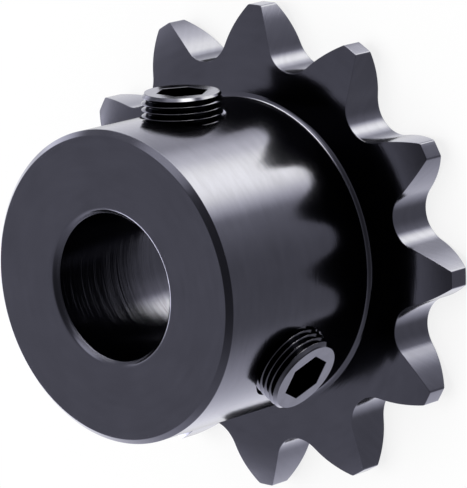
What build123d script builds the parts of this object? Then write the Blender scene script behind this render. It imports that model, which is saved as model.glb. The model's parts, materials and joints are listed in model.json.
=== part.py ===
from build123d import *
from math import acos, atan2, cos, degrees, hypot, radians, sin, sqrt, tan
import os

# Chain sprocket for 1/4 in pitch roller chain: a turned steel blank with twelve cut teeth and a
# hub on one side, which two cup point set screws clamp to its shaft.
# Z runs along the bore towards the nose of the hub, and z = 0 is the back face. X passes through
# the middle of a tooth and along the first set screw. All sizes are in millimetres.

# The chain that the teeth fit
chain_pitch = 6.35
roller_dia = 3.3

# Toothed rim
tooth_count = 12
plate_thickness = 2.8
tip_height = 1.28            # from the pitch circle out to the tips
seat_clearance = 0.04        # what the radius of a seat has over the radius of a roller
side_relief = 0.8            # how far each side falls away at the tips

# Hub and bore
overall_length = 14.0
hub_dia = 17.0
hub_edge_chamfer = 0.3
hub_root_bevel = 0.25        # the turned corner at the foot of the hub, as a small cone
bore_dia = 8.0
bore_chamfer = 0.3

# Set screws
screw_dia = 4.4
screw_length = 4.0
screw_angles = (0, -120)     # degrees about the bore, both in line with a tooth
screw_from_nose = 6.0
screw_standout = 1.18        # how far the outer ends stand above the hub
screw_edge_chamfer = 0.17
socket_width = 2.5           # across flats
socket_depth = 2.0
cup_dia = 2.4
conical_end_angle = 120      # included angle of the cup and of the bottom of the socket

# Tapped holes, as plain bores
screw_clearance = 0.05       # radial
countersink_dia = 4.95

# What the cutting tools run past a surface
overcut = 1.5

# Tooth form of a standard roller chain wheel with the wide gap between teeth
pitch_radius = chain_pitch / (2 * sin(radians(180 / tooth_count)))
tip_radius = pitch_radius + tip_height
root_radius = pitch_radius - roller_dia / 2
seat_radius = roller_dia / 2 + seat_clearance
seat_half_angle = 60 - 45 / tooth_count
flank_radius = 0.008 * roller_dia * (tooth_count ** 2 + 180)
side_radius = chain_pitch
bevel_start_radius = tip_radius - sqrt(side_radius ** 2 - (side_radius - side_relief) ** 2)

hub_radius = hub_dia / 2
bore_radius = bore_dia / 2
screw_hole_radius = screw_dia / 2 + screw_clearance
screw_height = overall_length - screw_from_nose


# Half of the section through the blank, from the back of the bore round to the back face.
def blank_section():
    bevel_angle = degrees(acos((side_radius - side_relief) / side_radius))
    mouth_radius = bore_radius + bore_chamfer
    nose_radius = hub_radius - hub_edge_chamfer
    hub_side = Polyline(
        (mouth_radius, 0),
        (bore_radius, bore_chamfer),
        (bore_radius, overall_length - bore_chamfer),
        (mouth_radius, overall_length),
        (nose_radius, overall_length),
        (hub_radius, overall_length - hub_edge_chamfer),
        (hub_radius, plate_thickness + hub_root_bevel),
        (hub_radius + hub_root_bevel, plate_thickness),
        (bevel_start_radius, plate_thickness),
    )
    front_bevel = CenterArc((bevel_start_radius, plate_thickness - side_radius), side_radius, 90, -bevel_angle)
    back_bevel = CenterArc((bevel_start_radius, side_radius), side_radius, bevel_angle - 90, -bevel_angle)
    land = Line(front_bevel @ 1, back_bevel @ 0)
    back_face = Line(back_bevel @ 1, hub_side @ 0)
    return make_face([hub_side, front_bevel, land, back_bevel, back_face])


# One gap between two teeth, opening along X: the roller's seat, a convex flank each side that
# runs on from it without a corner, and a straight line outside the tips.
def gap_outline():
    seat_centre = root_radius + seat_radius
    seat = CenterArc((seat_centre, 0), seat_radius, 180 + seat_half_angle, -2 * seat_half_angle)
    along_seat = radians(seat_half_angle)
    flank_x = seat_centre - (seat_radius + flank_radius) * cos(along_seat)
    flank_y = (seat_radius + flank_radius) * sin(along_seat)
    flank_reach = hypot(flank_x, flank_y)
    outside = tip_radius + overcut
    turn = (outside ** 2 - flank_reach ** 2 - flank_radius ** 2) / (2 * flank_reach * flank_radius)
    flank_end = degrees(atan2(flank_y, flank_x) - acos(turn))
    flank = CenterArc((flank_x, flank_y), flank_radius, -seat_half_angle, flank_end + seat_half_angle)
    other_flank = mirror(flank, Plane.XZ)
    return make_face([seat, flank, other_flank, Line(flank @ 1, other_flank @ 1)])


# A tapped hole along X through one wall of the hub, with its mouth lightly countersunk.
def screw_hole():
    hole = Cylinder(screw_hole_radius, hub_radius + overcut, align=(Align.CENTER, Align.CENTER, Align.MIN))
    countersink_depth = countersink_dia / 2 - screw_hole_radius
    mouth_length = countersink_depth + overcut
    mouth = Cone(screw_hole_radius, screw_hole_radius + mouth_length, mouth_length,
                 align=(Align.CENTER, Align.CENTER, Align.MIN))
    return Rot(0, 90, 0) * (hole + Pos(0, 0, hub_radius - countersink_depth) * mouth)


def make_sprocket():
    blank = revolve(Plane.XZ * blank_section(), Axis.Z)
    gap = Pos(0, 0, -overcut) * extrude(gap_outline(), plate_thickness + 2 * overcut)
    gaps = [place * gap for place in PolarLocations(0, tooth_count, 180 / tooth_count)]
    holes = [Pos(0, 0, screw_height) * Rot(0, 0, angle) * screw_hole() for angle in screw_angles]
    return blank - gaps - holes


# A set screw that stands on Z with its outer end at z = 0 and its point below.
def make_set_screw():
    end_slope = tan(radians(conical_end_angle / 2))
    radius = screw_dia / 2
    cup_radius = cup_dia / 2
    point_length = radius - cup_radius
    section = Polyline(
        (0, 0),
        (radius - screw_edge_chamfer, 0),
        (radius, -screw_edge_chamfer),
        (radius, point_length - screw_length),
        (cup_radius, -screw_length),
        (0, cup_radius / end_slope - screw_length),
        close=True,
    )
    screw = revolve(Plane.XZ * make_face(section), Axis.Z)
    hexagon = RegularPolygon(socket_width / 2, 6, major_radius=False, rotation=90)
    socket = extrude(hexagon, -socket_depth)
    drill_point = Cone(0, socket_width / 2, socket_width / 2 / end_slope,
                       align=(Align.CENTER, Align.CENTER, Align.MAX))
    return screw - socket - Pos(0, 0, -socket_depth) * drill_point


# Turns a set screw to point at the bore and sets it at its height and standout.
def placed_screw(angle):
    outward = Rot(0, 0, angle) * Rot(0, 90, 0)
    return Pos(0, 0, screw_height) * outward * Pos(0, 0, hub_radius + screw_standout) * make_set_screw()


pieces = {"sprocket": make_sprocket()}
for number, angle in enumerate(screw_angles, 1):
    pieces[f"set_screw_{number}"] = placed_screw(angle)

os.makedirs("parts", exist_ok=True)
for name, piece in pieces.items():
    piece.label = name
    export_step(piece, f"parts/{name}.step")
    print(name, "volume", round(piece.volume, 2), "mm3")
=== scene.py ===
import bmesh
import bpy
import json
from math import acos, atan2, ceil, cos, hypot, pi, radians, sin, sqrt, tan
from mathutils import Matrix, Vector

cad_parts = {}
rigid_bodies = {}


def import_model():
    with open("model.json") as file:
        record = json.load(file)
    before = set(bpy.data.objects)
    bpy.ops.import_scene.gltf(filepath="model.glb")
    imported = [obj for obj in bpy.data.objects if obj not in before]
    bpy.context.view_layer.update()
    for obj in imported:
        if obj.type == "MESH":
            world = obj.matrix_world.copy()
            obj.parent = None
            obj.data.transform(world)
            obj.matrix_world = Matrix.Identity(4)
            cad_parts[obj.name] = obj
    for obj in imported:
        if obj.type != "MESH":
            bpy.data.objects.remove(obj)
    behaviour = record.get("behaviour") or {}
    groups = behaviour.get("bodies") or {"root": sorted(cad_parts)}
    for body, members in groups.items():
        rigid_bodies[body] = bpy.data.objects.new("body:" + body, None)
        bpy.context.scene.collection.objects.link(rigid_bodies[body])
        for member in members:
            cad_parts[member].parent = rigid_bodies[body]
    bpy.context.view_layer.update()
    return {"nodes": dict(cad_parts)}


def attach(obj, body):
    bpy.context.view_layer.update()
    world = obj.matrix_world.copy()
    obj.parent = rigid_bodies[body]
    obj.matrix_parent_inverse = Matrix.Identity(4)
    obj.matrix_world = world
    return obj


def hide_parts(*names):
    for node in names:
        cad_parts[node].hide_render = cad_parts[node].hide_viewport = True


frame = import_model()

# A steel chain sprocket with two set screws in its hub. Sizes in the dictionaries are in
# millimetres and degrees, and every finished mesh is in metres.

toMetres = 0.001
samePoint = 0.0015                # points of a grid this close become one
edgeHold = 0.03                   # points this far beside an edge keep the faces there flat
print("frame loaded:", ", ".join(sorted(frame["nodes"])))


# Sets a socket to a number, or links it to what a Num stands for
def plug(tree, value, socket):
    if isinstance(value, Num):
        tree.links.new(value.socket, socket)
    else:
        socket.default_value = value


# A value in a node tree: plain arithmetic on it adds Math nodes
class Num:
    def __init__(self, tree, socket):
        self.tree = tree
        self.socket = socket

    def math(self, operation, *others):
        node = self.tree.nodes.new("ShaderNodeMath")
        node.operation = operation
        for socket, value in zip(node.inputs, (self,) + others):
            plug(self.tree, value, socket)
        return Num(self.tree, node.outputs[0])

    def __add__(self, other):
        return self.math("ADD", other)

    def __sub__(self, other):
        return self.math("SUBTRACT", other)

    def __mul__(self, other):
        return self.math("MULTIPLY", other)

    def __truediv__(self, other):
        return self.math("DIVIDE", other)

    __radd__ = __add__

    def __rsub__(self, other):
        return self.math("MULTIPLY", -1.0) + other

    # From one range to another, held at its ends, straight or eased
    def ranged(self, low, high, toLow=0.0, toHigh=1.0, eased=False):
        node = self.tree.nodes.new("ShaderNodeMapRange")
        node.interpolation_type = "SMOOTHSTEP" if eased else "LINEAR"
        for socket, value in zip(node.inputs, (self, low, high, toLow, toHigh)):
            plug(self.tree, value, socket)
        return Num(self.tree, node.outputs[0])


def addNode(tree, kind, **settings):
    node = tree.nodes.new(kind)
    for name, value in settings.items():
        setattr(node, name, value)
    return node


def combined(tree, x, y, z):
    node = addNode(tree, "ShaderNodeCombineXYZ")
    for socket, value in zip(node.inputs, (x, y, z)):
        plug(tree, value, socket)
    return node.outputs[0]


# A geometry tree with named inputs. Returns it with a Num for each input.
def newTree(name, inputs):
    tree = bpy.data.node_groups.new(name, "GeometryNodeTree")
    tree.is_modifier = True
    kinds = {float: "NodeSocketFloat", int: "NodeSocketInt"}
    for label, value in inputs.items():
        if isinstance(value, bpy.types.Object):
            kind = "NodeSocketObject"
        elif isinstance(value, bpy.types.Material):
            kind = "NodeSocketMaterial"
        else:
            kind = kinds[type(value)]
        tree.interface.new_socket(label, in_out="INPUT", socket_type=kind)
    tree.interface.new_socket("Geometry", in_out="OUTPUT", socket_type="NodeSocketGeometry")
    start = addNode(tree, "NodeGroupInput")
    return tree, {label: Num(tree, start.outputs[label]) for label in inputs}


# Ends a tree: one real mesh with its material
def endTree(tree, geometry, material):
    real = addNode(tree, "GeometryNodeRealizeInstances")
    painted = addNode(tree, "GeometryNodeSetMaterial")
    end = addNode(tree, "NodeGroupOutput")
    tree.links.new(geometry, real.inputs[0])
    tree.links.new(real.outputs[0], painted.inputs["Geometry"])
    tree.links.new(material.socket, painted.inputs["Material"])
    tree.links.new(painted.outputs[0], end.inputs[0])


# A grid with a row for each point of a section and its columns round the axis. Returns it with
# each point's column, its radius and height in the section, and a reader of the section's values.
def sectionGrid(tree, value, columns):
    grid = addNode(tree, "GeometryNodeMeshGrid")
    plug(tree, columns + 1.0, grid.inputs["Vertices X"])
    plug(tree, value["Rows"], grid.inputs["Vertices Y"])
    index = Num(tree, addNode(tree, "GeometryNodeInputIndex").outputs[0])
    column = (index / value["Rows"] + 1e-4).math("FLOOR")
    row = (index - column * value["Rows"]).math("ROUND")
    section = addNode(tree, "GeometryNodeObjectInfo")
    tree.links.new(value["Section"].socket, section.inputs["Object"])

    def readRow(kind, source):
        sample = addNode(tree, "GeometryNodeSampleIndex", data_type=kind)
        tree.links.new(section.outputs["Geometry"], sample.inputs["Geometry"])
        tree.links.new(source, sample.inputs["Value"])
        plug(tree, row, sample.inputs["Index"])
        return sample.outputs[0]

    position = addNode(tree, "GeometryNodeInputPosition")
    place = addNode(tree, "ShaderNodeSeparateXYZ")
    tree.links.new(readRow("FLOAT_VECTOR", position.outputs[0]), place.inputs[0])
    radius, height = Num(tree, place.outputs[0]), Num(tree, place.outputs[2])
    return grid.outputs[0], column, radius, height, readRow


# Wraps a grid round the axis, closes its seams and brings it to metres
def wrapGrid(tree, grid, radius, angle, height):
    shaped = addNode(tree, "GeometryNodeSetPosition")
    tree.links.new(grid, shaped.inputs["Geometry"])
    tree.links.new(combined(tree, radius * angle.math("COSINE"), radius * angle.math("SINE"), height),
                   shaped.inputs["Position"])
    merged = addNode(tree, "GeometryNodeMergeByDistance")
    merged.inputs["Distance"].default_value = samePoint
    tree.links.new(shaped.outputs[0], merged.inputs["Geometry"])
    flipped = addNode(tree, "GeometryNodeFlipFaces")
    tree.links.new(merged.outputs[0], flipped.inputs[0])
    sized = addNode(tree, "GeometryNodeTransform")
    tree.links.new(flipped.outputs[0], sized.inputs["Geometry"])
    sized.inputs["Scale"].default_value = (toMetres,) * 3
    return sized.outputs[0]


# Runs a tree with its values and returns an object with the plain mesh
def runTree(name, tree, values):
    carrier = bpy.data.objects.new(name + "_carrier", bpy.data.meshes.new(name + "_carrier"))
    bpy.context.scene.collection.objects.link(carrier)
    modifier = carrier.modifiers.new("shape", "NODES")
    modifier.node_group = tree
    for item in tree.interface.items_tree:
        if item.in_out == "INPUT":
            modifier[item.identifier] = values[item.name]
    carrier.update_tag()
    bpy.context.view_layer.update()
    evaluated = carrier.evaluated_get(bpy.context.evaluated_depsgraph_get())
    mesh = bpy.data.meshes.new_from_object(evaluated)
    mesh.name = name
    carrier.modifiers.remove(modifier)
    bpy.data.objects.remove(carrier)
    made = bpy.data.objects.new(name, mesh)
    bpy.context.scene.collection.objects.link(made)
    return made


# Merges, points the faces outwards and shades smooth except over sharp edges
def finishMesh(obj, sharpAngle=30, sameVertex=2e-7):
    tidy = bmesh.new()
    tidy.from_mesh(obj.data)
    bmesh.ops.remove_doubles(tidy, verts=tidy.verts, dist=sameVertex)
    bmesh.ops.dissolve_degenerate(tidy, edges=tidy.edges, dist=1e-8)
    bmesh.ops.recalc_face_normals(tidy, faces=tidy.faces)
    openEdges = sum(1 for edge in tidy.edges if len(edge.link_faces) != 2)
    triangles = sum(len(face.verts) - 2 for face in tidy.faces)
    volume = tidy.calc_volume(signed=True) / toMetres ** 3
    tidy.to_mesh(obj.data)
    tidy.free()
    obj.data.shade_smooth()
    obj.data.set_sharp_from_angle(angle=radians(sharpAngle))
    print(f"  {obj.name}: {triangles} triangles, {volume:.1f} mm3, {openEdges} open edges")


# A line of points kept as a bare mesh, which a tree reads by row
def lineObject(name, points):
    mesh = bpy.data.meshes.new(name)
    mesh.from_pydata([(x, 0, z) for x, z in points], [], [])
    made = bpy.data.objects.new(name, mesh)
    bpy.context.scene.collection.objects.link(made)
    return made


# Runs through corners (radius, height, rounding, steps). A corner with a rounding becomes an
# arc, with a point just before and after it.
def roundedLine(corners):
    line = []
    for number, (x, z, rounding, steps) in enumerate(corners):
        here = Vector((x, z))
        if not rounding:
            line.append(here)
            continue
        before = (Vector(corners[number - 1][:2]) - here).normalized()
        after = (Vector(corners[(number + 1) % len(corners)][:2]) - here).normalized()
        turn = pi - before.angle(after)
        trim = rounding * tan(turn / 2)
        start = here + before * trim
        end = here + after * trim
        centre = here + (before + after).normalized() * (rounding / cos(turn / 2))
        line.append(start + before * edgeHold)
        for step in range(steps + 1):
            share = step / steps
            line.append(centre + ((start - centre) * sin((1 - share) * turn)
                                  + (end - centre) * sin(share * turn)) / sin(turn))
        line.append(end + after * edgeHold)
    return line


# Evenly spaced values between two others
def valuesBetween(low, high, count):
    return [low + (high - low) * (i + 1) / (count + 1) for i in range(count)]


# A metal material. Returns it with its tree, its shader and its Object coordinates.
def newSteel(name, look):
    material = bpy.data.materials.new(name)
    material.use_nodes = True
    tree = material.node_tree
    shader = tree.nodes["Principled BSDF"]
    shader.inputs["Metallic"].default_value = 1.0
    shader.inputs["Specular Tint"].default_value = look["edgeTint"] + (1,)
    place = addNode(tree, "ShaderNodeTexCoord")
    return material, tree, shader, place.outputs["Object"]


def addNoise(tree, vector, scale, detail):
    noise = addNode(tree, "ShaderNodeTexNoise")
    noise.inputs["Scale"].default_value = scale
    noise.inputs["Detail"].default_value = detail
    tree.links.new(vector, noise.inputs["Vector"])
    return Num(tree, noise.outputs["Fac"])


# The steel's colour, darker where the noise is low and lighter where it is high
def addTone(tree, shader, look, noise):
    tone = addNode(tree, "ShaderNodeMix", data_type="RGBA")
    plug(tree, noise.ranged(0.3, 0.7), tone.inputs[0])
    for socket, level in ((6, 1 - look["toneChange"]), (7, 1 + look["toneChange"])):
        tone.inputs[socket].default_value = tuple(c * level for c in look["colour"]) + (1,)
    tree.links.new(tone.outputs[2], shader.inputs["Base Color"])


def addRelief(tree, shader, look, height):
    bump = addNode(tree, "ShaderNodeBump")
    bump.inputs["Strength"].default_value = 1.0
    bump.inputs["Distance"].default_value = look["relief"] * toMetres
    plug(tree, height, bump.inputs["Height"])
    tree.links.new(bump.outputs[0], shader.inputs["Normal"])


screwFinish = {
    "colour": (0.056, 0.056, 0.072),
    "edgeTint": (0.82, 0.82, 0.88),
    "toneChange": 0.12,
    "roughness": 0.1,
    "cloudRoughness": 0.12,       # how much the clouds change it
    "cloudScale": 1500.0,
    "grainScale": 9000.0,
    "relief": 0.0012,
}


# Set screws: the same dark steel, a little smoother, with a fine grain all over
def screwSteel():
    look = screwFinish
    material, tree, shader, place = newSteel("screw_steel", look)
    cloud = addNoise(tree, place, look["cloudScale"], 3.0)
    plug(tree, look["roughness"] + (cloud - 0.5) * look["cloudRoughness"], shader.inputs["Roughness"])
    addTone(tree, shader, look, cloud)
    addRelief(tree, shader, look, addNoise(tree, place, look["grainScale"], 3.0))
    return material


# The threads of the set screws and of the tapped holes come from one tree
screw = {
    "angles": (0, -120),
    "height": 8.0,
    "outerEnd": 9.68,             # from the bore's axis
    "length": 4.0,
    "radius": 2.2,
    "edgeRadius": 2.03,           # of the flat outer end, inside its chamfer
    "cupRadius": 1.2,
    "coneAngle": 60,              # half of the cup's and of the socket bottom's angle
    "socketFlats": 2.5,
    "socketDepth": 2.0,
    "socketEdge": 0.02,           # the small broken edge round its mouth
    "pitch": 0.35,
    "threadDepth": 0.28,
    "crestRadius": 0.022,
    "columns": 144,
}


# Rows over one turn of thread: (share of the pitch, share of the depth), crest to crest. The
# crest is an arc between flanks at 60 degrees that meet in a sharp root or run to a flat one.
def threadRows(pitch, depth, crestRadius, crestSteps):
    half = []
    for step in range(crestSteps + 1):
        turn = radians(60) * step / crestSteps
        half.append((crestRadius * sin(turn) / pitch, crestRadius * (1 - cos(turn)) / depth))
    over, start = half[-1]
    rootAt = over + (1 - start) * depth * tan(radians(30)) / pitch
    rootAt = min(rootAt, 0.496)                    # just short of half a pitch
    half += [(over + (rootAt - over) * share, start + (1 - start) * share) for share in (0.35, 0.7, 1.0)]
    return half + [(1 - share, deep) for share, deep in reversed(half[1:])]


# Rows from the middle of the outer end, down the thread, to the middle of the inner end.
# Each is (radius, height, depth share, flag): flag 1 follows the thread, flag 2 the hexagon.
def threadedSection(outerRows, innerRows, top, bottom, crest, pitch, turnRows):
    rows = list(outerRows)
    turns = ceil((top - bottom) / pitch) + 1
    for turn in range(turns):
        for share, depth in turnRows:
            rows.append((crest, top + pitch - (turn + share) * pitch, depth, 1))
    rows.append((crest, top + pitch - turns * pitch, 0, 1))
    return rows + list(innerRows)


def sectionObject(name, rows):
    made = lineObject(name, [(row[0], row[1]) for row in rows])
    for label, column in (("depthShare", 2), ("flag", 3)):
        values = made.data.attributes.new(label, "FLOAT", "POINT")
        for point, row in zip(values.data, rows):
            point.value = row[column]
    return made


def threadTree(inputs):
    tree, value = newTree("threaded_round", inputs)
    grid, column, rowRadius, rowHeight, readRow = sectionGrid(tree, value, value["Columns"])

    def readNumber(label):
        named = addNode(tree, "GeometryNodeInputNamedAttribute", data_type="FLOAT")
        named.inputs["Name"].default_value = label
        return Num(tree, readRow("FLOAT", named.outputs[0]))

    flag = readNumber("flag")
    onThread = flag.math("COMPARE", 1.0, 0.1)
    onHexagon = flag.math("COMPARE", 2.0, 0.1)
    around = column / value["Columns"]
    angle = around * (2 * pi)

    # The thread's rows climb one pitch a turn and stop at its two ends
    top, bottom, pitch = value["Top"], value["Bottom"], value["Pitch"]
    climbed = rowHeight - (1.0 - around) * pitch
    climbed = climbed.math("MAXIMUM", bottom).math("MINIMUM", top)
    height = rowHeight + (climbed - rowHeight) * onThread
    depth = climbed.ranged(top - pitch, top, value["Depth"], value["Top depth"])
    depth = depth * climbed.ranged(bottom, bottom + pitch, value["Bottom share"], 1.0)
    side = value["Side"]                           # 1 for a screw, -1 for a hole's cutter
    limits = (value["Top radius"] + (top - climbed) * side,
              value["Point radius"] + (climbed - value["Point height"]) * value["Point slope"])
    threadRadius = (rowRadius - readNumber("depthShare") * depth * side) * side
    for limit in limits:
        threadRadius = threadRadius.math("MINIMUM", limit * side)
    threadRadius = threadRadius * side
    sixth = (angle + pi / 6).math("FLOORED_MODULO", pi / 3) - pi / 6
    hexagonRadius = rowRadius / sixth.math("COSINE")
    radius = rowRadius + (threadRadius - rowRadius) * onThread + (hexagonRadius - rowRadius) * onHexagon
    endTree(tree, wrapGrid(tree, grid, radius, angle, height), value["Material"])
    return tree


# Rows before and after the thread: the socket and outer end, then the point and cup
def makeScrewRows():
    flats, depth = screw["socketFlats"] / 2, screw["socketDepth"]
    edge, hold = screw["socketEdge"], edgeHold
    slope = tan(radians(screw["coneAngle"]))
    outer = [(0, -depth - flats / slope, 0, 0)]
    outer += [(flats * 0.99 * i / 4, -depth - flats * (4 - i) / 4 / slope, 0, 0) for i in (1, 2, 3)]
    outer += [(flats * 0.985, -depth - 0.004, 0, 0), (flats, -depth, 0, 2), (flats, -depth + hold, 0, 2)]
    outer += [(flats, -depth * share, 0, 2) for share in (0.75, 0.5, 0.25)]
    outer += [(flats, -edge - 0.02, 0, 2), (flats, -edge, 0, 2), (flats + edge * 0.4, -edge * 0.4, 0, 2),
              (flats + edge, 0, 0, 2), (flats + edge + hold, 0, 0, 2)]
    outer += [(screw["edgeRadius"] - gap, 0, 0, 0) for gap in (0.24, 0.04)]
    length, cup = screw["length"], screw["cupRadius"]
    inner = [(cup + rise, -length + rise, 0, 0) for rise in (0.5, 0.2, 0.04)]
    inner += [(cup, -length, 0, 0), (cup - hold, -length + hold / slope, 0, 0)]
    inner += [(cup * share, -length + cup * (1 - share) / slope, 0, 0) for share in (0.66, 0.33, 0)]
    return outer, inner


# From upright on the origin to lying in the hub, outwards from the bore's axis
def inHub(angle):
    outward = Matrix.Rotation(radians(angle), 4, "Z") @ Matrix.Rotation(pi / 2, 4, "Y")
    return Matrix.Translation((0, 0, screw["height"] * toMetres)) @ outward


def makeScrews():
    outer, inner = makeScrewRows()
    rootRadius = screw["radius"] - screw["threadDepth"]
    bottom = -screw["length"] + rootRadius - screw["cupRadius"]
    turnRows = threadRows(screw["pitch"], screw["threadDepth"], screw["crestRadius"], 3)
    rows = threadedSection(outer, inner, 0.0, bottom, screw["radius"], screw["pitch"], turnRows)
    values = {
        "Section": sectionObject("screw_section", rows), "Rows": len(rows), "Columns": screw["columns"],
        "Pitch": screw["pitch"], "Depth": screw["threadDepth"],
        "Top": 0.0, "Top radius": screw["edgeRadius"],
        "Top depth": screw["radius"] - screw["edgeRadius"],
        "Bottom": bottom, "Bottom share": 1.0,
        "Point radius": screw["cupRadius"], "Point height": -screw["length"], "Point slope": 1.0,
        "Side": 1.0, "Material": screwMaterial,
    }
    tree = threadTree(values)
    made = []
    for number, angle in enumerate(screw["angles"], 1):
        piece = runTree(f"set_screw_{number}_threaded", tree, values)
        piece.data.transform(inHub(angle) @ Matrix.Translation((0, 0, screw["outerEnd"] * toMetres)))
        finishMesh(piece)
        made.append(piece)
    return tree, made


screwMaterial = screwSteel()
threads, setScrews = makeScrews()
print("set screws made")


# The sprocket is a turned blank whose rim is drawn in between the teeth
sprocket = {
    "teeth": 12,
    "chainPitch": 6.35,
    "rollerRadius": 1.65,
    "seatRadius": 1.69,
    "tipRadius": 13.546,
    "plateThickness": 2.8,
    "tipThickness": 1.2,
    "sideRadius": 6.35,
    "length": 14.0,
    "edgeChamfer": 0.3,
    "hubRadius": 8.5,
    "boreRadius": 4.0,
    "boreChamfer": 0.3,
    "footRadius": 0.3,
    "edgeRounding": 0.04,
    "mouthRounding": 0.25,
    "tipRounding": 0.05,
    "landRounding": 0.1,
    "stillRadius": 9.5,           # inside this the blank stays round
    "rimDepth": 0.1,              # within this much of the tips the section moves as one
    "cornerHalf": 0.32,           # degrees on each side of a tip's corner where columns bunch
    "seatColumns": 10, "flankColumns": 8, "cornerColumns": 4, "landColumns": 2,
    # Heights and radii of extra rows of points, closer where the tapped holes are cut
    "hubRows": (12.4, 11.2, 10.4, 9.6, 8.8, 8.0, 7.2, 6.4, 5.6, 4.6),
    "upperBoreRows": (7.0, 8.5, 10.0, 11.5),
    "lowerBoreRows": (2.5, 4.3, 5.7),
    "noseRows": (5.6, 6.9),
    "backRows": (7.8, 6.0),
}

turnedFinish = {
    "colour": (0.054, 0.054, 0.072),    # dark steel with a slight blue cast
    "edgeTint": (0.94, 0.94, 1.0),      # keeps the blue cast at a glance
    "toneChange": 0.1,
    "roughness": 0.15,
    "lineRoughness": 0.08,        # how much the lines change it
    "cloudRoughness": 0.1,        # and how much the clouds do
    "cloudScale": 420.0,
    "lineWidth": 0.065,           # turning lines, about one each
    "broadLines": 5,              # broad ones, in widths of the fine ones
    "relief": 0.0025,
    "boreLonger": 0.75,           # what the lines in the bore gain in length
    "boreCloser": 0.4,
    "boreDeeper": 0.7,
    "boreGroove": 0.5,            # single deeper lines in the bore
}


# Turned steel: fine lines that run round the axis on faces, bevels, hub and bore alike
def turnedSteel():
    look = turnedFinish
    material, tree, shader, place = newSteel("turned_steel", look)
    parts = addNode(tree, "ShaderNodeSeparateXYZ")
    tree.links.new(place, parts.inputs[0])
    x, y, z = (Num(tree, parts.outputs[i]) * (1 / toMetres) for i in range(3))
    radius = (x * x + y * y).math("SQRT")
    along = radius + z * 0.8                       # runs across the lines on every turned face

    # The bore was reamed: its lines are longer, closer and deeper
    inBore = radius.ranged(sprocket["boreRadius"] + 0.15, sprocket["boreRadius"] + 0.05)
    length = 1.0 - inBore * look["boreLonger"]
    along = along * (inBore * look["boreCloser"] + 1.0)

    # Noise drawn out along the lines, which break off more often the higher the breaks
    def lines(width, breaks):
        across = length * breaks
        return addNoise(tree, combined(tree, x * across, y * across, along / width), 1.0, 2.0)

    fine = lines(look["lineWidth"], 1.1)
    broad = lines(look["lineWidth"] * look["broadLines"], 0.6)
    cloud = addNoise(tree, place, look["cloudScale"], 4.0)
    rough = (look["roughness"] + (fine - 0.5) * look["lineRoughness"]
             + (cloud - 0.5) * look["cloudRoughness"])
    plug(tree, rough, shader.inputs["Roughness"])
    addTone(tree, shader, look, broad * 0.5 + cloud * 0.5)
    grooves = lines(look["lineWidth"], 0.4).ranged(0.5, 0.64, eased=True) * inBore
    height = (fine + broad * 0.3) * (1.0 + inBore * look["boreDeeper"]) + grooves * look["boreGroove"]
    addRelief(tree, shader, look, height)
    return material


hole = {
    "ridgeRadius": 2.215,         # clear of the screw's crests wherever it stands
    "threadDepth": 0.095,
    "innerEnd": 3.0,
    "outerEnd": 10.0,
    "mouthRadius": 2.475,         # countersink, where it meets the hub
    "columns": 96,
}


# What cuts the tapped holes out of the hub, with the ridges between their threads left in
def makeHoleCutters(tree):
    top, bottom = hole["outerEnd"], hole["innerEnd"]
    mouth = hole["mouthRadius"] + top - sprocket["hubRadius"]
    outer = [(0, top, 0, 0), (mouth * 0.5, top, 0, 0)]
    inner = [(hole["ridgeRadius"] * 0.5, bottom, 0, 0), (0, bottom, 0, 0)]
    turnRows = threadRows(screw["pitch"], hole["threadDepth"], screw["crestRadius"], 1)
    rows = threadedSection(outer, inner, top, bottom, hole["ridgeRadius"], screw["pitch"], turnRows)
    values = {
        "Section": sectionObject("hole_section", rows), "Rows": len(rows), "Columns": hole["columns"],
        "Pitch": screw["pitch"], "Depth": hole["threadDepth"],
        "Top": top, "Top radius": mouth, "Top depth": hole["threadDepth"],
        "Bottom": bottom, "Bottom share": 0.0,
        "Point radius": 0.0, "Point height": 0.0, "Point slope": 0.0,
        "Side": -1.0, "Material": turnedMaterial,
    }
    made = []
    for number, angle in enumerate(screw["angles"], 1):
        cutter = runTree(f"hole_cutter_{number}", tree, values)
        cutter.data.transform(inHub(angle))
        finishMesh(cutter)
        made.append(cutter)
    return made


# The tooth form of a standard chain wheel: seat, flank and where each ends, seen from a gap
def toothForm():
    teeth = sprocket["teeth"]
    pitchRadius = sprocket["chainPitch"] / (2 * sin(pi / teeth))
    seatHalf = radians(60 - 45 / teeth)
    seatCentre = pitchRadius - sprocket["rollerRadius"] + sprocket["seatRadius"]
    flankRadius = 0.016 * sprocket["rollerRadius"] * (teeth ** 2 + 180)    # the standard's rule
    reach = sprocket["seatRadius"] + flankRadius
    flankX, flankY = seatCentre - reach * cos(seatHalf), reach * sin(seatHalf)
    flankReach, flankTurn = hypot(flankX, flankY), atan2(flankY, flankX)
    seatEnd = atan2(sprocket["seatRadius"] * sin(seatHalf),
                    seatCentre - sprocket["seatRadius"] * cos(seatHalf))
    tip = sprocket["tipRadius"]
    turn = acos((tip ** 2 + flankReach ** 2 - flankRadius ** 2) / (2 * tip * flankReach))
    return {"Seat centre": seatCentre, "Seat half angle": seatHalf, "Seat end": seatEnd,
            "Flank radius": flankRadius, "Flank reach": flankReach, "Flank turn": flankTurn,
            "Tip start": flankTurn - turn}


# Radius where the arcs that bevel both sides of the rim start
def bevelStart():
    side = sprocket["sideRadius"]
    relief = (sprocket["plateThickness"] - sprocket["tipThickness"]) / 2
    return sprocket["tipRadius"] - sqrt(side ** 2 - (side - relief) ** 2)


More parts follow.
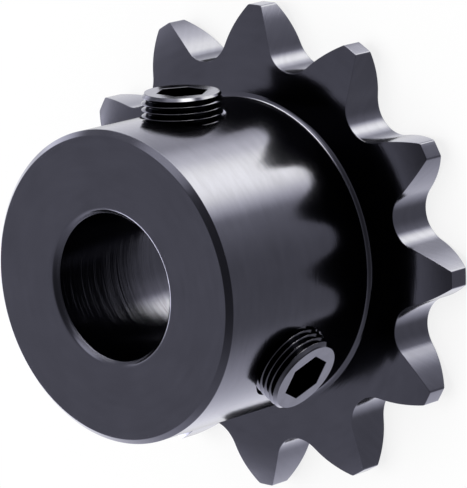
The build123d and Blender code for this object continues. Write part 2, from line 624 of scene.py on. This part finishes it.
# The blank's section, from the middle of the bore up, over the hub and plate and back
def blankSection():
    edge, foot, hub = sprocket["edgeRounding"], sprocket["footRadius"], sprocket["hubRadius"]
    bore, chamfer = sprocket["boreRadius"], sprocket["boreChamfer"]
    top, plate, half = sprocket["length"], sprocket["plateThickness"], sprocket["plateThickness"] / 2
    hubEdge, tip, start = sprocket["edgeChamfer"], sprocket["tipRadius"], bevelStart()
    side = sprocket["sideRadius"]

    def fall(r):
        return side - sqrt(side ** 2 - (r - start) ** 2)

    bevelRadii = [start] + valuesBetween(start, tip, 7)
    corners = [(bore, z, 0, 0) for z in sprocket["upperBoreRows"]]
    corners += [(bore, top - chamfer, edge, 2), (bore + chamfer, top, sprocket["mouthRounding"], 4)]
    corners += [(r, top, 0, 0) for r in sprocket["noseRows"]]
    corners += [(hub - hubEdge, top, edge, 2), (hub, top - hubEdge, edge / 3, 2)]
    corners += [(hub, z, 0, 0) for z in sprocket["hubRows"]]
    corners += [(hub, plate, foot, 8), (sprocket["stillRadius"], plate, 0, 0)]
    corners += [(r, plate - fall(r), 0, 0) for r in bevelRadii]
    corners += [(tip, half + sprocket["tipThickness"] / 2, sprocket["tipRounding"], 3), (tip, half, 0, 0),
                (tip, half - sprocket["tipThickness"] / 2, sprocket["tipRounding"], 3)]
    corners += [(r, fall(r), 0, 0) for r in reversed(bevelRadii)]
    corners += [(r, 0, 0, 0) for r in (sprocket["stillRadius"], *sprocket["backRows"])]
    corners += [(bore + chamfer, 0, edge, 2), (bore, chamfer, edge, 2)]
    corners += [(bore, z, 0, 0) for z in sprocket["lowerBoreRows"]]
    line = roundedLine(corners)
    return line + line[:1]


def sprocketTree(inputs):
    tree, value = newTree("toothed_blank", inputs)
    halfColumns = (sprocket["seatColumns"] + sprocket["flankColumns"]
                   + sprocket["cornerColumns"] + sprocket["landColumns"])
    each = 2 * halfColumns
    columns = value["Teeth"] * float(each)
    grid, column, blankRadius, blankHeight, _ = sectionGrid(tree, value, columns)

    # Columns bunch where the outline bends: along the seat, the flank, the corner and the land
    gap = ((column + 0.5) / float(each)).math("FLOOR")
    step = column - gap * float(each) - float(halfColumns)
    away = step.math("ABSOLUTE")
    seatTo = float(sprocket["seatColumns"])
    flankTo = seatTo + sprocket["flankColumns"]
    cornerTo = flankTo + sprocket["cornerColumns"]
    bend = value["Corner half"]
    onSeat = away.math("MINIMUM", seatTo) * value["Seat half angle"] / seatTo
    turn = (onSeat.math("SINE") * value["Seat radius"]).math(
        "ARCTAN2", value["Seat centre"] - onSeat.math("COSINE") * value["Seat radius"])
    turn += away.ranged(seatTo, flankTo, 0.0, value["Tip start"] - bend - value["Seat end"])
    turn += away.ranged(flankTo, cornerTo, 0.0, bend * 2.0)
    halfPitch = value["Half pitch"]
    turn += away.ranged(cornerTo, float(halfColumns), 0.0, halfPitch - value["Tip start"] - bend)
    warped = (gap * 2.0 + 1.0) * halfPitch + step.math("SIGN") * turn
    even = column / columns * (2 * pi)
    angle = even + (warped - even) * blankRadius.ranged(value["Even radius"], value["Still radius"])

    # The outline's radius at each angle: seat, then flank, then the tips
    reachOut = turn.math("COSINE") * value["Seat centre"]
    across = turn.math("SINE") * value["Seat centre"]
    seat = reachOut - (value["Seat radius"] * value["Seat radius"] - across * across).math("SQRT")
    flankRadius, flankReach = value["Flank radius"], value["Flank reach"]
    alongFlank = (value["Flank turn"] - turn).math("COSINE") * flankReach
    flank = alongFlank + (flankRadius * flankRadius - flankReach * flankReach
                          + alongFlank * alongFlank).math("SQRT")
    outline = seat + (flank - seat) * turn.math("GREATER_THAN", value["Seat end"])
    outline = outline.math("SMOOTH_MIN", value["Tip radius"], value["Land rounding"])

    # Draw the rim in: spread evenly up to the edge, and the edge itself as one
    still, tip, rim = value["Still radius"], value["Tip radius"], value["Rim depth"]
    spread = (blankRadius - still).math("MAXIMUM", 0.0).math("MINIMUM", tip - rim - still)
    moved = blankRadius + spread / (tip - rim - still) * (outline - tip)

    # The side bevels follow the new radius
    def fall(r):
        over = (r - value["Bevel start"]).math("MAXIMUM", 0.0)
        side = value["Side radius"]
        return side - (side * side - over * over).math("SQRT")

    middle = value["Plate thickness"] / 2.0
    upper = (blankHeight - middle).math("SIGN")
    lift = (fall(blankRadius) - fall(moved)) * upper * blankRadius.math("GREATER_THAN", still)
    height = blankHeight + lift

    # Tapped holes
    cut = addNode(tree, "GeometryNodeMeshBoolean", operation="DIFFERENCE", solver="MANIFOLD")
    tree.links.new(wrapGrid(tree, grid, moved, angle, height), cut.inputs["Mesh 1"])
    for label in ("Cutter 1", "Cutter 2"):
        cutter = addNode(tree, "GeometryNodeObjectInfo")
        tree.links.new(value[label].socket, cutter.inputs["Object"])
        tree.links.new(cutter.outputs["Geometry"], cut.inputs["Mesh 2"])
    endTree(tree, cut.outputs[0], value["Material"])
    return tree


def makeSprocket():
    line = blankSection()
    values = {
        "Section": lineObject("blank_section", line), "Rows": len(line), "Teeth": sprocket["teeth"],
        "Half pitch": pi / sprocket["teeth"], "Corner half": radians(sprocket["cornerHalf"]),
        "Seat radius": sprocket["seatRadius"], **toothForm(),
        "Tip radius": sprocket["tipRadius"], "Land rounding": sprocket["landRounding"],
        "Even radius": sprocket["hubRadius"] + sprocket["footRadius"],
        "Still radius": sprocket["stillRadius"], "Rim depth": sprocket["rimDepth"],
        "Plate thickness": sprocket["plateThickness"], "Side radius": sprocket["sideRadius"],
        "Bevel start": bevelStart(),
        "Cutter 1": holeCutters[0], "Cutter 2": holeCutters[1],
        "Material": turnedMaterial,
    }
    made = runTree("sprocket_cut", sprocketTree(values), values)
    finishMesh(made)
    return made


turnedMaterial = turnedSteel()
holeCutters = makeHoleCutters(threads)
toothed = makeSprocket()
print("sprocket made")

# Cutters and section lines have done their work
helperNames = ("hole_cutter", "hole_section", "screw_section", "blank_section")
for helper in [o for o in bpy.data.objects if o.name.startswith(helperNames)]:
    bpy.data.objects.remove(helper)

# What each piece rides on and stands for
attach(toothed, "sprocket_body")
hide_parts("sprocket")
for number, piece in enumerate(setScrews, 1):
    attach(piece, f"screw_body_{number}")
    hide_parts(f"set_screw_{number}")
print("pieces placed")


studio = {
    "floorSize": 1.6,             # metres
    "floorGlow": 0.8,             # share of plain white in the floor as the camera sees it
    "softLevel": 0.6,             # what the room gives to the floor
    "roomLevel": 1.0,             # what metal mirrors where nothing stands
    "secondMirror": 0.1,          # share of that left when it comes by way of other metal
    "darkSide": 0.81,             # taken from the room on its dark side
    "darkFloor": 0.2,             # taken from it low down
    "softbox": 6.8,               # highlight along the hub
    "softboxSide": 3.9,           # its dimmer side
    "softboxGlow": 1.3,           # and the glow all round it
    "warmth": 0.18,               # how much less blue the warm lights are
    "footLight": 20.0,            # line round the hub's foot
    "strip": 10.0,                # line round the bore's mouth
    "band": 0.97,                 # broad light from the far side
    "fill": 1.6,                  # and from the left
    "spot": 2.1,                  # glint on the hub's outer edge
    "edgeGlow": 2.5,              # along the right of the hub's outer edge
    "underGlow": 0.35,            # on the hub, away from the softbox
    "fullyWarm": 9.5,             # brightness from which a warm light has all its warmth
    "floorColour": 0.94,
    "floorDrop": 2e-5,            # metres below the part
    "lampSize": 0.5,
    "lampEnergy": 2.2,
    "lampPlace": (0.06, 0.1, 0.6),
}


# Unit vector from azimuth (X towards Y) and elevation, in degrees
def direction(azimuth, elevation):
    a, e = radians(azimuth), radians(elevation)
    return (cos(e) * cos(a), cos(e) * sin(a), sin(e))


def makeWorld():
    world = bpy.data.worlds.new("studio")
    bpy.context.scene.world = world
    world.use_nodes = True
    world.cycles.sampling_method = "NONE"
    tree = world.node_tree
    back = tree.nodes["Background"]
    look = addNode(tree, "ShaderNodeTexCoord")
    path = addNode(tree, "ShaderNodeLightPath")

    height = addNode(tree, "ShaderNodeSeparateXYZ")
    tree.links.new(look.outputs["Generated"], height.inputs[0])
    rise = Num(tree, height.outputs[2])

    # How near the ray runs to a direction: 1 inside the inner angle, 0 outside the outer one
    def near(azimuth, elevation, inner, outer):
        dot = addNode(tree, "ShaderNodeVectorMath", operation="DOT_PRODUCT")
        tree.links.new(look.outputs["Generated"], dot.inputs[0])
        dot.inputs[1].default_value = direction(azimuth, elevation)
        return Num(tree, dot.outputs["Value"]).ranged(cos(radians(outer)), cos(radians(inner)), eased=True)

    # Runs with the ray's elevation from 0 at one angle to 1 at another
    def fade(gone, full):
        return rise.ranged(sin(radians(gone)), sin(radians(full)), eased=True)

    # What metal mirrors: an even room with one darker side, and warm and cool lights
    dark = near(-80, 45, 5, 69) * studio["darkSide"] + fade(-17.5, -36.9) * studio["darkFloor"]
    warm = near(-19, -40, 1, 21.4) * studio["softbox"]
    warm = warm + near(-5.7, -40, 8, 23.6) * studio["softboxSide"]
    warm = warm + near(7, -47, 5, 58) * studio["softboxGlow"]
    warm = warm + near(4, 4, 12, 40) * fade(15, 4) * fade(-15, -4) * studio["footLight"]
    warm = warm + near(4, 29, 4, 25) * studio["edgeGlow"]
    warm = warm + near(71, -47, 4, 16) * studio["underGlow"]
    cool = near(176, -33, 2, 46) * studio["fill"] + near(68, -7, 5, 16) * studio["spot"]
    cool = cool + near(124, 0, 49, 70) * fade(47, 2) * fade(-50, -24) * studio["band"]
    cool = cool + near(114, 6, 8, 24) * fade(24, 10) * fade(-14, -5) * studio["strip"]
    room = warm + cool - dark + studio["roomLevel"]
    warmth = (warm * (1 / studio["fullyWarm"])).math("MINIMUM", 1.0) * studio["warmth"]

    # What metal mirrors in metal stays dark
    depth = Num(tree, path.outputs["Glossy Depth"])
    room = room * depth.ranged(1.0, 2.0, 1.0, studio["secondMirror"])

    # The camera sees plain white, and the floor gets a soft level
    straight = Num(tree, path.outputs["Is Camera Ray"])
    plain = straight.math("MAXIMUM", Num(tree, path.outputs["Is Transmission Ray"]))
    level = plain + (1.0 - plain) * studio["softLevel"]
    glossy = Num(tree, path.outputs["Is Glossy Ray"])
    strength = level + (room - level) * glossy
    blue = 1.0 - warmth * glossy
    colour = addNode(tree, "ShaderNodeCombineColor")
    colour.inputs[0].default_value = 1.0
    colour.inputs[1].default_value = 1.0
    plug(tree, blue, colour.inputs[2])
    tree.links.new(colour.outputs[0], back.inputs["Color"])
    plug(tree, strength, back.inputs["Strength"])


def makeFloor():
    half = studio["floorSize"] / 2
    mesh = bpy.data.meshes.new("floor")
    corners = ((-1, -1), (1, -1), (1, 1), (-1, 1))
    mesh.from_pydata([(x * half, y * half, -studio["floorDrop"]) for x, y in corners], [], [(0, 1, 2, 3)])
    floor = bpy.data.objects.new("floor", mesh)
    bpy.context.scene.collection.objects.link(floor)
    floor.visible_glossy = False
    material = bpy.data.materials.new("pale_floor")
    material.use_nodes = True
    tree = material.node_tree
    tree.nodes.remove(tree.nodes["Principled BSDF"])
    plain = addNode(tree, "ShaderNodeEmission")
    matt = addNode(tree, "ShaderNodeBsdfDiffuse")
    matt.inputs["Color"].default_value = (studio["floorColour"],) * 3 + (1,)
    mixed = addNode(tree, "ShaderNodeMixShader")
    mixed.inputs[0].default_value = studio["floorGlow"]
    tree.links.new(matt.outputs[0], mixed.inputs[1])
    tree.links.new(plain.outputs[0], mixed.inputs[2])
    tree.links.new(mixed.outputs[0], tree.nodes["Material Output"].inputs["Surface"])
    mesh.materials.append(material)


def makeLamp():
    lamp = bpy.data.lights.new("overhead", "AREA")
    lamp.shape = "DISK"
    lamp.size = studio["lampSize"]
    lamp.energy = studio["lampEnergy"]
    holder = bpy.data.objects.new("overhead", lamp)
    holder.location = studio["lampPlace"]
    holder.rotation_euler = (-holder.location).to_track_quat("-Z", "Y").to_euler()    # at the origin
    holder.visible_glossy = False
    bpy.context.scene.collection.objects.link(holder)


# The camera that was fitted to the photo, in millimetres
view = {
    "place": (52.007, -153.188, 173.166),
    "right": (-0.024889, -0.744382, -0.66729),
    "up": (0.975221, 0.128702, -0.179946),
    "back": (0.21983, -0.655234, 0.722733),
    "focalPixels": 4279.17,
    "pictureWidth": 467,          # pixels
    "sensorWidth": 36.0,
}


def makeCamera():
    turned = Matrix((view["right"], view["up"], view["back"])).transposed().to_4x4()
    data = bpy.data.cameras.new("camera")
    data.sensor_fit = "HORIZONTAL"
    data.sensor_width = view["sensorWidth"]
    data.lens = view["sensorWidth"] * view["focalPixels"] / view["pictureWidth"]
    data.clip_start = 0.01
    data.clip_end = 20.0
    camera = bpy.data.objects.new("camera", data)
    camera.matrix_world = Matrix.Translation(Vector(view["place"]) * toMetres) @ turned
    bpy.context.scene.collection.objects.link(camera)
    bpy.context.scene.camera = camera


makeWorld()
makeFloor()
makeLamp()
makeCamera()
bpy.context.scene.view_settings.view_transform = "Standard"
print("studio made")
